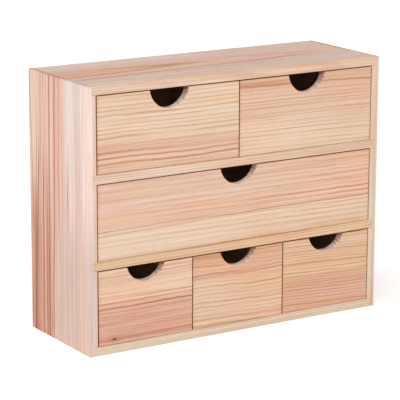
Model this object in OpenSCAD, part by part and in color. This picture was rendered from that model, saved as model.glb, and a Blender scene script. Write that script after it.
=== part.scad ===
// Desktop mini drawers: a small pine chest that stands on a desk and holds six plain drawers.
// Sizes are in millimetres. The origin is the centre of the footprint, on the resting surface.
// +Z points up, +X to the right of someone who faces the drawers, and the drawers open along -Y.

/* [Carcase] */
// Width over the two sides
case_w = 340; // [290:5:420]
// Depth from the front edges to the outer face of the back panel
case_d = 120; // [100:5:180]
// Thickness of the solid boards
board_t = 9; // [7:0.5:12]
// Depth that the level boards are let into the sides
housing = 4.5; // [3:0.5:6]

/* [Rows] */
// Clear height of the bottom row, which holds three drawers
bottom_row_h = 76; // [60:1:110]
// Clear height of the middle row, which holds one wide drawer
middle_row_h = 76; // [60:1:110]
// Clear height of the top row, which holds two drawers
top_row_h = 77; // [60:1:110]

/* [Back panel] */
// Thickness of the plywood back panel
back_t = 3; // [2:0.5:5]
// Width of the panel's seat on each board around it
back_lap = 4.5; // [3:0.5:6]
// Number of brads across each level board
brads_across = 4; // [2:2:8]

/* [Dividers] */
// Thickness of the plywood divider between two drawers
divider_t = 3; // [2:0.5:4]
// Depth that a divider is let into the boards above and below
divider_groove = 2; // [1:0.5:3]
// Room between a closed drawer front and the divider behind it
divider_room = 2; // [1:0.5:6]

/* [Drawer fronts] */
// Thickness of a drawer front
front_t = 9; // [7:0.5:12]
// Gap between a drawer front and what stands beside or above it
reveal = 1; // [0.6:0.1:2]
// Gap under a drawer front, which keeps it from rubbing
foot_gap = 0.3; // [0.2:0.1:0.6]
// Depth of the rebate that takes the drawer's side walls
front_lap = 5; // [3.5:0.5:6]

/* [Finger notches] */
// Radius of the half-round finger notch
notch_r = 22; // [16:0.5:26]
// Depth of the notches in the top row
top_notch = 19; // [10:0.5:20]
// Depth of the notch in the middle row
middle_notch = 17.5; // [10:0.5:20]
// Depth of the notches in the bottom row
bottom_notch = 16; // [10:0.5:20]

/* [Drawer boxes] */
// Thickness of the side walls of a drawer
wall_t = 6; // [4:0.5:8]
// Thickness of the rear wall of a drawer
rear_t = 6; // [4:0.5:8]
// Thickness of the plywood floor of a drawer
floor_t = 3; // [2:0.5:4]
// Height of the floor's groove above the lower edge
floor_lift = 4; // [3:0.5:8]
// Depth of the groove that holds the floor
floor_groove = 3; // [1.5:0.5:3]
// Room above the walls of a drawer
wall_room = 5; // [3:0.5:15]
// Room between a drawer wall and the divider beside it
side_room = 1; // [0.5:0.1:2]
// Room between a closed drawer and the back panel that stops it
stop_room = 0.3; // [0.2:0.1:1]
// Play of a floor in its grooves
floor_play = 0.2; // [0.1:0.1:0.5]

/* [Brads] */
// Length of a brad under its head
brad_l = 14; // [12:0.5:18]
// Shank radius of a brad
brad_r = 0.6; // [0.4:0.05:0.8]
// Head radius of a brad
brad_head_r = 1.1; // [0.9:0.05:1.5]
// Thickness of a brad's head
brad_head_t = 0.7; // [0.4:0.1:1]
// Length of a brad's point
brad_point = 1.5; // [1:0.1:2]
// Clearance around a brad in its hole
brad_play = 0.03; // [0.02:0.01:0.1]

/* [Hidden] */
// A row of drawers: [height of its floor, clear height, number of drawers, depth of a finger notch].
// Its floor is the top face of the board under it. Column 0 of a row is the left one.
bottom_row_z = board_t;
middle_row_z = bottom_row_z + bottom_row_h + board_t;
top_row_z = middle_row_z + middle_row_h + board_t;
BOTTOM = [bottom_row_z, bottom_row_h, 3, bottom_notch];
MIDDLE = [middle_row_z, middle_row_h, 1, middle_notch];
TOP = [top_row_z, top_row_h, 2, top_notch];
function row_z(row) = row[0];
function row_h(row) = row[1];
function row_columns(row) = row[2];
function row_notch(row) = row[3];
function row_top_z(row) = row_z(row) + row_h(row);

// How far a cutter runs past the face that it opens
over = 1;
$fn = 96;

PINE = [0.90, 0.77, 0.60];
PALE_PINE = [0.93, 0.83, 0.68];
PLYWOOD = [0.86, 0.74, 0.58];
STEEL = [0.62, 0.62, 0.60];

inner_w = case_w - 2 * board_t;
inner_x = inner_w / 2;
front_y = -case_d / 2;
back_y = case_d / 2;
panel_y = back_y - back_t;
level_w = inner_w + 2 * housing;
shelf_d = case_d - back_t;
divider_y = front_y + front_t + divider_room;
box_front_y = front_y + front_t - front_lap;
box_rear_y = panel_y - stop_room;
floor_front_y = front_y + front_t - floor_groove + floor_play;

case_h = row_top_z(TOP) + board_t;
lower_shelf_z = row_z(MIDDLE) - board_t;
upper_shelf_z = row_z(TOP) - board_t;
top_board_z = case_h - board_t;

// Centre of the line between columns of a row: line 0 is the left side, the last the right side
function seam_x(row, line) = line * inner_w / row_columns(row) - inner_x;
function is_last(row, column) = column == row_columns(row) - 1;

// Ends of a drawer front: half of the reveal lies on each side of a seam between two fronts
function front_x0(row, column) = seam_x(row, column) + (column == 0 ? reveal : reveal / 2);
function front_x1(row, column) = seam_x(row, column + 1) - (is_last(row, column) ? reveal : reveal / 2);

// Outer faces of a drawer's walls, which clear the side of the carcase or the divider
wall_inset = divider_t / 2 + side_room;
function box_x0(row, column) = seam_x(row, column) + (column == 0 ? reveal : wall_inset);
function box_x1(row, column) = seam_x(row, column + 1) - (is_last(row, column) ? reveal : wall_inset);

function box_top_z(row) = row_top_z(row) - wall_room;
function floor_z(row) = row_z(row) + floor_lift;
function rear_z(row) = floor_z(row) + floor_t;
function front_top_z(row) = row_top_z(row) - reveal;

// Two brads hold each corner of a drawer, a quarter of the rear wall's height from its edges
BRAD_SHARES = [0.25, 0.75];
function corner_brad_z(row, share) = rear_z(row) + share * (box_top_z(row) - rear_z(row));
front_brad_y = box_front_y + front_lap / 2;
rear_brad_y = box_rear_y - rear_t / 2;

// Brads of the back panel: a row along each level board, and one beside each row of drawers
level_brad_z = [
    board_t - back_lap / 2,
    lower_shelf_z + board_t / 2,
    upper_shelf_z + board_t / 2,
    top_board_z + back_lap / 2
];
side_brad_x = inner_x + back_lap / 2;
function level_brad_x(index) = (index + 0.5) * case_w / brads_across - case_w / 2;
function side_brad_z(row) = row_z(row) + row_h(row) / 2;

// A box between two opposite corners
module block(low, high) {
    translate(low)
        cube(high - low);
}

// One brad, driven down along -Z, with its head flush at z = 0
module brad(play = 0) {
    shank_l = brad_l - brad_point + play;
    translate([0, 0, -brad_head_t - play])
        cylinder(r = brad_head_r + play, h = brad_head_t + play);
    translate([0, 0, -shank_l])
        cylinder(r = brad_r + play, h = shank_l);
    translate([0, 0, -shank_l - brad_point])
        cylinder(r1 = 0, r2 = brad_r + play, h = brad_point);
}

// A brad through the back panel
module back_brad(x, z, play = 0) {
    translate([x, back_y, z])
        rotate([-90, 0, 0])
            brad(play);
}

// The brads of the back panel that go into the level board at index level
module level_brads(level, play = 0) {
    for (index = [0 : brads_across - 1])
        back_brad(level_brad_x(index), level_brad_z[level], play);
}

// The brads of the back panel that go into one side: -1 is the left side, 1 the right side
module side_brads(side, play = 0) {
    for (row = [BOTTOM, MIDDLE, TOP])
        back_brad(side * side_brad_x, side_brad_z(row), play);
}

// The space of a level board that reaches into both sides, opened at the front by the overrun
module level_space(z, depth, overrun = 0) {
    block([-level_w / 2, front_y - overrun, z], [level_w / 2, front_y + depth, z + board_t]);
}

// The seat of the back panel, open at the back
module back_space(overrun = 0) {
    block(
        [-inner_x - back_lap, panel_y, board_t - back_lap],
        [inner_x + back_lap, back_y + overrun, top_board_z + back_lap]
    );
}

// The space of a divider on a seam of a row, opened at the back by the overrun
module divider_space(row, line, overrun = 0) {
    x = seam_x(row, line);
    low_z = row_z(row) - divider_groove;
    high_z = row_top_z(row) + divider_groove;
    block([x - divider_t / 2, divider_y, low_z], [x + divider_t / 2, panel_y + overrun, high_z]);
}

// A side of the carcase: -1 is the left side, 1 the right side
module carcase_side(side) {
    color(PALE_PINE)
        difference() {
            block(
                [side > 0 ? inner_x : -case_w / 2, front_y, 0],
                [side > 0 ? case_w / 2 : -inner_x, back_y, case_h]
            );
            block(
                [-level_w / 2, front_y - over, -over],
                [level_w / 2, back_y + over, board_t]
            );
            block(
                [-level_w / 2, front_y - over, top_board_z],
                [level_w / 2, back_y + over, case_h + over]
            );
            level_space(lower_shelf_z, shelf_d, over);
            level_space(upper_shelf_z, shelf_d, over);
            back_space(over);
            side_brads(side, brad_play);
        }
}

module left_side() {
    carcase_side(-1);
}

module right_side() {
    carcase_side(1);
}

module top_board() {
    color(PINE)
        difference() {
            level_space(top_board_z, case_d);
            back_space(over);
            divider_space(TOP, 1, over);
            level_brads(3, brad_play);
        }
}

module bottom_board() {
    color(PINE)
        difference() {
            level_space(0, case_d);
            back_space(over);
            divider_space(BOTTOM, 1, over);
            divider_space(BOTTOM, 2, over);
            level_brads(0, brad_play);
        }
}

module upper_shelf() {
    color(PINE)
        difference() {
            level_space(upper_shelf_z, shelf_d);
            divider_space(TOP, 1, over);
            level_brads(2, brad_play);
        }
}

module lower_shelf() {
    color(PINE)
        difference() {
            level_space(lower_shelf_z, shelf_d);
            divider_space(BOTTOM, 1, over);
            divider_space(BOTTOM, 2, over);
            level_brads(1, brad_play);
        }
}

module divider(row, line) {
    color(PLYWOOD)
        divider_space(row, line);
}

module back_panel() {
    color(PLYWOOD)
        difference() {
            back_space();
            back_panel_brad_set(brad_play);
        }
}

// Every brad of the back panel
module back_panel_brad_set(play = 0) {
    for (level = [0 : len(level_brad_z) - 1])
        level_brads(level, play);
    side_brads(-1, play);
    side_brads(1, play);
}

module back_panel_brads() {
    color(STEEL)
        back_panel_brad_set();
}

// A brad through a drawer's wall: -1 is the left wall, 1 the right wall
module corner_brad(row, column, side, y, share, play = 0) {
    x = side > 0 ? box_x1(row, column) : box_x0(row, column);
    translate([x, y, corner_brad_z(row, share)])
        rotate([0, side * 90, 0])
            brad(play);
}

// The brads at the front or rear corners of a drawer, on both of its walls
module corner_brads(row, column, y, play = 0) {
    for (side = [-1, 1])
        for (share = BRAD_SHARES)
            corner_brad(row, column, side, y, share, play);
}

// The space of a drawer's floor, which reaches into the grooves of the front and both walls.
// With play it is the grooves themselves; the overruns open it past the front and the rear.
module floor_space(row, column, play = 0, front_overrun = 0, rear_overrun = 0) {
    inset = wall_t - floor_groove + floor_play - play;
    front = floor_front_y - play - front_overrun;
    rear = box_rear_y + rear_overrun;
    block(
        [box_x0(row, column) + inset, front, floor_z(row)],
        [box_x1(row, column) - inset, rear, rear_z(row) + play]
    );
}

// A drawer front with its finger notch, the rebates for the walls and the groove for the floor
module drawer_front(row, column) {
    x0 = front_x0(row, column);
    x1 = front_x1(row, column);
    low_z = row_z(row) + foot_gap;
    high_z = front_top_z(row);
    notch_z = high_z - row_notch(row) + notch_r;
    tongue_x0 = box_x0(row, column) + wall_t;
    tongue_x1 = box_x1(row, column) - wall_t;
    rear_y = front_y + front_t;
    color(PINE)
        difference() {
            block([x0, front_y, low_z], [x1, rear_y, high_z]);
            translate([(x0 + x1) / 2, front_y - over, notch_z])
                rotate([-90, 0, 0])
                    cylinder(r = notch_r, h = front_t + 2 * over);
            block([x0 - over, box_front_y, low_z - over], [tongue_x0, rear_y + over, high_z + over]);
            block([tongue_x1, box_front_y, low_z - over], [x1 + over, rear_y + over, high_z + over]);
            floor_space(row, column, floor_play);
            corner_brads(row, column, front_brad_y, brad_play);
        }
}

// A side wall of a drawer: -1 is the left wall, 1 the right wall
module drawer_wall(row, column, side) {
    x0 = side > 0 ? box_x1(row, column) - wall_t : box_x0(row, column);
    color(PALE_PINE)
        difference() {
            block([x0, box_front_y, row_z(row)], [x0 + wall_t, box_rear_y, box_top_z(row)]);
            floor_space(row, column, floor_play, front_lap, over);
            for (share = BRAD_SHARES) {
                corner_brad(row, column, side, front_brad_y, share, brad_play);
                corner_brad(row, column, side, rear_brad_y, share, brad_play);
            }
        }
}

// The rear wall of a drawer stands on its floor, between the side walls
module drawer_rear_wall(row, column) {
    color(PALE_PINE)
        difference() {
            block(
                [box_x0(row, column) + wall_t, box_rear_y - rear_t, rear_z(row)],
                [box_x1(row, column) - wall_t, box_rear_y, box_top_z(row)]
            );
            corner_brads(row, column, rear_brad_y, brad_play);
        }
}

module drawer_floor(row, column) {
    color(PLYWOOD)
        floor_space(row, column);
}

module drawer_brads(row, column) {
    color(STEEL) {
        corner_brads(row, column, front_brad_y);
        corner_brads(row, column, rear_brad_y);
    }
}

left_side();
right_side();
top_board();
bottom_board();
upper_shelf();
lower_shelf();
divider(TOP, 1);  // upper_divider
divider(BOTTOM, 1);  // lower_left_divider
divider(BOTTOM, 2);  // lower_right_divider
back_panel();
back_panel_brads();
drawer_front(TOP, 0);  // top_left_drawer_front
drawer_wall(TOP, 0, -1);  // top_left_drawer_left_wall
drawer_wall(TOP, 0, 1);  // top_left_drawer_right_wall
drawer_rear_wall(TOP, 0);  // top_left_drawer_rear_wall
drawer_floor(TOP, 0);  // top_left_drawer_floor
drawer_brads(TOP, 0);  // top_left_drawer_brads
drawer_front(TOP, 1);  // top_right_drawer_front
drawer_wall(TOP, 1, -1);  // top_right_drawer_left_wall
drawer_wall(TOP, 1, 1);  // top_right_drawer_right_wall
drawer_rear_wall(TOP, 1);  // top_right_drawer_rear_wall
drawer_floor(TOP, 1);  // top_right_drawer_floor
drawer_brads(TOP, 1);  // top_right_drawer_brads
drawer_front(MIDDLE, 0);  // middle_drawer_front
drawer_wall(MIDDLE, 0, -1);  // middle_drawer_left_wall
drawer_wall(MIDDLE, 0, 1);  // middle_drawer_right_wall
drawer_rear_wall(MIDDLE, 0);  // middle_drawer_rear_wall
drawer_floor(MIDDLE, 0);  // middle_drawer_floor
drawer_brads(MIDDLE, 0);  // middle_drawer_brads
drawer_front(BOTTOM, 0);  // bottom_left_drawer_front
drawer_wall(BOTTOM, 0, -1);  // bottom_left_drawer_left_wall
drawer_wall(BOTTOM, 0, 1);  // bottom_left_drawer_right_wall
drawer_rear_wall(BOTTOM, 0);  // bottom_left_drawer_rear_wall
drawer_floor(BOTTOM, 0);  // bottom_left_drawer_floor
drawer_brads(BOTTOM, 0);  // bottom_left_drawer_brads
drawer_front(BOTTOM, 1);  // bottom_middle_drawer_front
drawer_wall(BOTTOM, 1, -1);  // bottom_middle_drawer_left_wall
drawer_wall(BOTTOM, 1, 1);  // bottom_middle_drawer_right_wall
drawer_rear_wall(BOTTOM, 1);  // bottom_middle_drawer_rear_wall
drawer_floor(BOTTOM, 1);  // bottom_middle_drawer_floor
drawer_brads(BOTTOM, 1);  // bottom_middle_drawer_brads
drawer_front(BOTTOM, 2);  // bottom_right_drawer_front
drawer_wall(BOTTOM, 2, -1);  // bottom_right_drawer_left_wall
drawer_wall(BOTTOM, 2, 1);  // bottom_right_drawer_right_wall
drawer_rear_wall(BOTTOM, 2);  // bottom_right_drawer_rear_wall
drawer_floor(BOTTOM, 2);  // bottom_right_drawer_floor
drawer_brads(BOTTOM, 2);  // bottom_right_drawer_brads
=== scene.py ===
"""Dresses a small pine chest of desk drawers.

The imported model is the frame. Each board is rebuilt over its own node with seats, grooves, eased
arrises and brad holes, and each group of brads with domed heads and points. Every piece takes a
pine, plywood or steel finish and rides on the body of the node that it stands for.
"""

import logging
import math
from collections.abc import Callable
from dataclasses import dataclass
from enum import Enum
from functools import cached_property

import bmesh
import bpy
from mathutils import Matrix, Vector


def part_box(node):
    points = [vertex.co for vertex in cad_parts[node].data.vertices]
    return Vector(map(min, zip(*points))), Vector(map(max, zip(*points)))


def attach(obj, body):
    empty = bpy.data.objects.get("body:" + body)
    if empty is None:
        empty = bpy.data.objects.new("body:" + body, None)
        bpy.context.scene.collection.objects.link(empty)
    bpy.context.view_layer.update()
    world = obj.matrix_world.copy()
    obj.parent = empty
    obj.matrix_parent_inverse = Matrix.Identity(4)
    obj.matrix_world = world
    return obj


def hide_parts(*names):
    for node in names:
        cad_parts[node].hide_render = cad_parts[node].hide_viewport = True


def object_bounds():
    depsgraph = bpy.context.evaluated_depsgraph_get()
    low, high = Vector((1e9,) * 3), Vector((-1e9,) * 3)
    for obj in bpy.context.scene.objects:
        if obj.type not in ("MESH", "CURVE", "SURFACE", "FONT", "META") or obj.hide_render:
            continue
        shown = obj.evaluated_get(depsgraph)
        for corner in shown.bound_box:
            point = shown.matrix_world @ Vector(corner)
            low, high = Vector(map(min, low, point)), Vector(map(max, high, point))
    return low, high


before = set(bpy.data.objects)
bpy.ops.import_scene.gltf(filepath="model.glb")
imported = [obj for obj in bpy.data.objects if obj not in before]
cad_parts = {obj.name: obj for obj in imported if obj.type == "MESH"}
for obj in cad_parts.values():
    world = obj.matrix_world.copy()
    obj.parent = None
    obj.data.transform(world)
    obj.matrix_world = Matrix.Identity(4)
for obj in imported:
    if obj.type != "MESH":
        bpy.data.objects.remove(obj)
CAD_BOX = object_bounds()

LOG = logging.getLogger("drawers")

MM = 0.001
# How far a cutter runs past a face that it opens, and how close two faces count as flush
OVERRUN = 1 * MM
FLUSH = 0.01 * MM
# Edges of a finished piece above this angle stay sharp
SHARP = math.radians(50)

Piece = bpy.types.Object
Socket = bpy.types.NodeSocket
Colour = tuple[float, float, float]
# The depth and the radius of each ring of a turned pin
Profile = list[tuple[float, float]]


class Axis(Enum):
    """An axis of the frame, by its place in a vector."""

    X = 0
    Y = 1
    Z = 2


class Slot(Enum):
    """The record's material slots."""

    CARCASE = "pine_carcase"
    FRONT = "pine_front"
    BOX = "pine_box"
    PLYWOOD = "plywood"
    STEEL = "steel"


class Tint(Enum):
    """Colours of bare softwood, as display red, green and blue from 0 to 255."""

    IVORY = (242, 225, 217)
    PEARL = (229, 205, 193)
    CREAM = (237, 212, 192)
    SHELL = (235, 212, 200)
    SAND = (235, 208, 183)
    STRAW = (235, 206, 176)
    FAWN = (229, 196, 169)
    HONEY = (228, 191, 155)
    BLUSH = (234, 201, 182)
    PEACH = (234, 194, 166)
    SALMON = (231, 186, 157)
    CORAL = (231, 189, 173)
    ROSE = (222, 176, 153)
    CLAY = (209, 157, 134)
    RUST = (194, 139, 115)
    APRICOT = (222, 175, 144)
    AMBER = (224, 174, 132)
    OAT = (226, 203, 188)
    HUSK = (226, 195, 178)
    FLAX = (225, 205, 181)
    DUSK = (217, 189, 175)
    BARK = (150, 92, 66)
    KNOT = (92, 50, 34)

    @property
    def linear(self) -> Colour:
        """The same colour as linear light."""
        return tuple(to_linear(part / 255) for part in self.value)


def to_linear(part: float) -> float:
    """Turns one display colour component, from 0 to 1, into linear light."""
    return part / 12.92 if part <= 0.04045 else ((part + 0.055) / 1.055) ** 2.4


@dataclass(frozen=True)
class Block:
    """A box along the axes of the frame, in metres."""

    low: Vector
    high: Vector

    @classmethod
    def of(cls, node: str) -> "Block":
        """The block that a node of the frame fills."""
        return cls(*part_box(node))

    @classmethod
    def around(cls, points: list[Vector]) -> "Block":
        """The smallest block that holds some points."""
        return cls(*(Vector([pick(parts) for parts in zip(*points)]) for pick in (min, max)))

    @property
    def size(self) -> Vector:
        """The three edge lengths."""
        return self.high - self.low

    @property
    def middle(self) -> Vector:
        """The centre of the block."""
        return (self.low + self.high) / 2

    @property
    def axes(self) -> tuple[Axis, Axis, Axis]:
        """The longest, the middle and the shortest axis: along the grain, across and through."""
        return tuple(sorted(Axis, key=lambda axis: -self.size[axis.value]))

    def holds(self, point: Vector) -> bool:
        """Whether a point lies inside the block."""
        return all(l < p < h for l, p, h in zip(self.low, point, self.high))

    def covers(self, other: "Block") -> bool:
        """Whether another block lies wholly inside this one."""
        room = self.grown(FLUSH)
        return room.holds(other.low) and room.holds(other.high)

    def meets(self, other: "Block") -> bool:
        """Whether the block and another one share some space."""
        ends = zip(self.low, self.high, other.low, other.high)
        return all(low < end - FLUSH and start < high - FLUSH for low, high, start, end in ends)

    def grown(self, room: float) -> "Block":
        """The block with some room all round."""
        return Block(self.low - Vector((room,) * 3), self.high + Vector((room,) * 3))

    def moved(self, axis: Axis, low: float | None = None, high: float | None = None) -> "Block":
        """Gives the block new limits along one axis.

        Args:
            axis: The axis that changes.
            low: The new low limit, or None to keep the old one.
            high: The new high limit, or None to keep the old one.

        Returns:
            The changed block.
        """
        lows, highs = self.low.copy(), self.high.copy()
        lows[axis.value] = lows[axis.value] if low is None else low
        highs[axis.value] = highs[axis.value] if high is None else high
        return Block(lows, highs)

    def cutter(self, board: "Block", seats: "list[Block]") -> "Block":
        """Makes a cutter of this block that leaves no skin of wood at its ends.

        Args:
            board: The board that is cut.
            seats: All the blocks that are cut out of it.

        Returns:
            The block, pushed out where it reaches a face of the board or ends against a seat.
        """
        block = self
        for axis in Axis:
            low, high = self.low[axis.value], self.high[axis.value]
            before = self.moved(axis, low - OVERRUN, low)
            after = self.moved(axis, high, high + OVERRUN)
            if low < board.low[axis.value] + FLUSH or any(seat.covers(before) for seat in seats):
                block = block.moved(axis, low=low - OVERRUN)
            if high > board.high[axis.value] - FLUSH or any(seat.covers(after) for seat in seats):
                block = block.moved(axis, high=high + OVERRUN)
        return block


@dataclass(frozen=True)
class Brad:
    """A headed wire nail, driven along one axis.

    Attributes:
        head: The middle of the head's top.
        inward: The direction in which it is driven.
        length: Its length from the head's top to the tip.
        head_r: The head's radius.
        shank_r: The shank's radius.
        head_t: The head's thickness.
    """

    head: Vector
    inward: Vector
    length: float
    head_r: float
    shank_r: float
    head_t: float

    # Points further out than this share of a head's radius lie on its rim
    RIM = 0.9
    # Room around a head, where the soft wood is crushed, and around a shank, as shares of a radius
    CRUSH = 1.13
    BORE = 1.05
    # The low dome and the eased rim of a head: depths against its thickness, radii against its own
    HEAD = ((0.0, 0.5), (0.04, 0.8), (0.16, 0.96), (0.32, 1.0), (0.9, 1.0), (1.0, 0.94))
    # The point: distances from the tip and radii, both against the shank's radius
    POINT = ((2.5, 1.0), (0.0, 0.1))
    SIDES = 20

    @classmethod
    def all_of(cls, node: str) -> "list[Brad]":
        """Every brad of a node of the frame."""
        return [cls.of(points) for points in loose_parts(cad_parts[node].data)]

    @classmethod
    def of(cls, points: list[Vector]) -> "Brad":
        """Reads one brad from the points of its mesh.

        Args:
            points: The points, which include the rings of a head, a shank and a tip.

        Returns:
            The brad.
        """
        block = Block.around(points)
        along, middle = block.axes[0].value, block.middle

        def radius(point: Vector) -> float:
            """The distance of a point from the brad's centre line."""
            return math.sqrt(sum((point[i] - middle[i]) ** 2 for i in range(3) if i != along))

        radii = sorted({round(radius(point), 5) for point in points})
        rim = [point[along] for point in points if radius(point) > cls.RIM * radii[-1]]
        head_high = rim[0] > middle[along]
        head, inward = middle.copy(), Vector((0, 0, 0))
        head[along] = block.high[along] if head_high else block.low[along]
        inward[along] = -1.0 if head_high else 1.0
        head_t = max(abs(place - head[along]) for place in rim)
        return cls(head, inward, block.size[along], radii[-1], radii[-2], head_t)

    @property
    def block(self) -> Block:
        """The block around the shank."""
        return Block.around([self.head, self.head + self.inward * self.length]).grown(self.shank_r)

    def hole(self) -> Profile:
        """The profile of the hole that the brad sits in."""
        head_r, bore_r = self.head_r * self.CRUSH, self.shank_r * self.BORE
        return [(-OVERRUN, head_r), (self.head_t, head_r), (self.head_t, bore_r), (self.length, bore_r)]

    def nail(self) -> Profile:
        """Gives the profile of the brad itself.

        Returns:
            The rings of its head, its shank and its point.
        """
        head = [(depth * self.head_t, share * self.head_r) for depth, share in self.HEAD]
        tip = [(self.length - back * self.shank_r, share * self.shank_r) for back, share in self.POINT]
        return [*head, (self.head_t, self.shank_r), *tip]

    def turn(self, bm: bmesh.types.BMesh, profile: Profile) -> None:
        """Turns a closed pin about the brad's centre line.

        Args:
            bm: The mesh that gains the pin.
            profile: The depth below the head's top and the radius of each ring.
        """
        place = Vector((0, 0, 1)).rotation_difference(self.inward).to_matrix()
        rings = []
        for depth, radius in profile:
            ring = []
            for step in range(self.SIDES):
                angle = 2 * math.pi * step / self.SIDES
                local = Vector((radius * math.cos(angle), radius * math.sin(angle), depth))
                ring.append(bm.verts.new(self.head + place @ local))
            rings.append(ring)
        bm.faces.new(list(reversed(rings[0])))
        bm.faces.new(rings[-1])
        for first, second in zip(rings, rings[1:]):
            for step in range(self.SIDES):
                after = (step + 1) % self.SIDES
                bm.faces.new((first[step], first[after], second[after], second[step]))


@dataclass(frozen=True)
class Notch:
    """A half-round finger notch in the top edge of a drawer front.

    Attributes:
        front: The front's block.
        middle: The notch's middle, along X.
        radius: Its radius.
        depth: Its depth.
    """

    front: Block
    middle: float
    radius: float
    depth: float

    # Steps round the full circle, none of which ends close to a notch's upper corners
    SIDES = 100

    @classmethod
    def of(cls, node: str) -> "Notch":
        """Reads the notch of a drawer front from its node.

        Args:
            node: The node of the front.

        Returns:
            The notch.
        """
        front = Block.of(node)
        points = [vert.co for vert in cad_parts[node].data.vertices]
        face = [(p.x, p.z) for p in points if p.y < front.low.y + FLUSH]
        top = [x for x, z in face if z > front.high.z - FLUSH]
        rim = [x for x in top if front.low.x + FLUSH < x < front.high.x - FLUSH]
        middle, half = (min(rim) + max(rim)) / 2, (max(rim) - min(rim)) / 2
        arc = [z for x, z in face if abs(x - middle) < half - FLUSH and z > front.middle.z]
        depth = front.high.z - min(arc)
        return cls(front, middle, (half**2 + depth**2) / (2 * depth), depth)

    def cutter(self) -> Piece:
        """Makes the round cutter of the notch.

        Returns:
            A cylinder that runs past both faces of the front.
        """
        height = self.front.high.z - self.depth + self.radius
        centre = Matrix.Translation((self.middle, self.front.middle.y, height))
        bm = bmesh.new()
        bmesh.ops.create_cone(
            bm, cap_ends=True, segments=self.SIDES, radius1=self.radius, radius2=self.radius,
            depth=self.front.size.y + 2 * OVERRUN, matrix=centre @ Matrix.Rotation(math.pi / 2, 4, "X"),
        )
        return piece_from(bm, "notch_cutter")


def loose_parts(mesh: bpy.types.Mesh) -> list[list[Vector]]:
    """Sorts a mesh's points into its loose parts.

    Args:
        mesh: The mesh to sort, in which faces may have points of their own at a shared place.

    Returns:
        The points of each loose part.
    """
    bm = bmesh.new()
    bm.from_mesh(mesh)
    bmesh.ops.remove_doubles(bm, verts=bm.verts, dist=FLUSH)
    left = dict.fromkeys(bm.verts)
    parts = []
    while left:
        # This list grows while it is walked
        reached = [left.popitem()[0]]
        for vert in reached:
            for other in [edge.other_vert(vert) for edge in vert.link_edges]:
                if other in left:
                    del left[other]
                    reached.append(other)
        parts.append([vert.co.copy() for vert in reached])
    bm.free()
    return parts


def piece_from(bm: bmesh.types.BMesh, name: str) -> Piece:
    """Makes an object of a bmesh and frees it.

    Args:
        bm: The mesh under construction.
        name: The new object's name.

    Returns:
        The object, linked to the scene.
    """
    bmesh.ops.recalc_face_normals(bm, faces=bm.faces)
    mesh = bpy.data.meshes.new(name)
    bm.to_mesh(mesh)
    bm.free()
    piece = bpy.data.objects.new(name, mesh)
    bpy.context.scene.collection.objects.link(piece)
    return piece


def block_piece(name: str, block: Block) -> Piece:
    """Makes a plain block, as a blank for a board or as a cutter.

    Args:
        name: The new object's name.
        block: Where the block lies.

    Returns:
        The object.
    """
    bm = bmesh.new()
    bmesh.ops.create_cube(bm, size=1.0)
    for vert in bm.verts:
        vert.co = block.middle + vert.co * block.size
    return piece_from(bm, name)


def turned(name: str, brads: list[Brad], profile: Callable[[Brad], Profile]) -> Piece:
    """Turns the brads, or the pins that cut their holes, as one piece.

    Args:
        name: The new object's name.
        brads: The brads.
        profile: What gives each brad's profile.

    Returns:
        The object.
    """
    bm = bmesh.new()
    for brad in brads:
        brad.turn(bm, profile(brad))
    return piece_from(bm, name)


def settle(piece: Piece) -> None:
    """Turns what a piece's modifiers make into its own mesh.

    Args:
        piece: The piece.
    """
    bpy.context.view_layer.update()
    graph = bpy.context.evaluated_depsgraph_get()
    rough = piece.data
    mesh = bpy.data.meshes.new_from_object(
        piece.evaluated_get(graph), preserve_all_data_layers=True, depsgraph=graph
    )
    piece.modifiers.clear()
    piece.data = mesh
    bpy.data.meshes.remove(rough)


def carve(piece: Piece, cutters: list[Piece]) -> None:
    """Takes cutters out of a piece, one after the other, and removes them.

    Args:
        piece: The piece that is cut.
        cutters: The closed pieces that are taken away from it.
    """
    for cutter in cutters:
        cut = piece.modifiers.new("cut", "BOOLEAN")
        cut.operation = "DIFFERENCE"
        cut.solver = "EXACT"
        cut.object = cutter
    settle(piece)
    for cutter in cutters:
        bpy.data.meshes.remove(cutter.data)


def dress(piece: Piece, node: str, finish: "Finish", body: str) -> None:
    """Shades a piece, gives it its finish and puts it on its body in place of a node.

    Args:
        piece: The piece.
        node: The node that the piece stands for.
        finish: What its surface is made of.
        body: The body that the piece rides on.
    """
    mesh = piece.data
    mesh.shade_smooth()
    mesh.set_sharp_from_angle(angle=SHARP)
    normals = piece.modifiers.new("flat_faces", "WEIGHTED_NORMAL")
    normals.keep_sharp = True
    mesh.materials.clear()
    mesh.materials.append(finish.material(node, Block.of(node)))
    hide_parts(node)
    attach(piece, body)
    LOG.info("%s: %d faces", piece.name, len(mesh.polygons))


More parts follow.
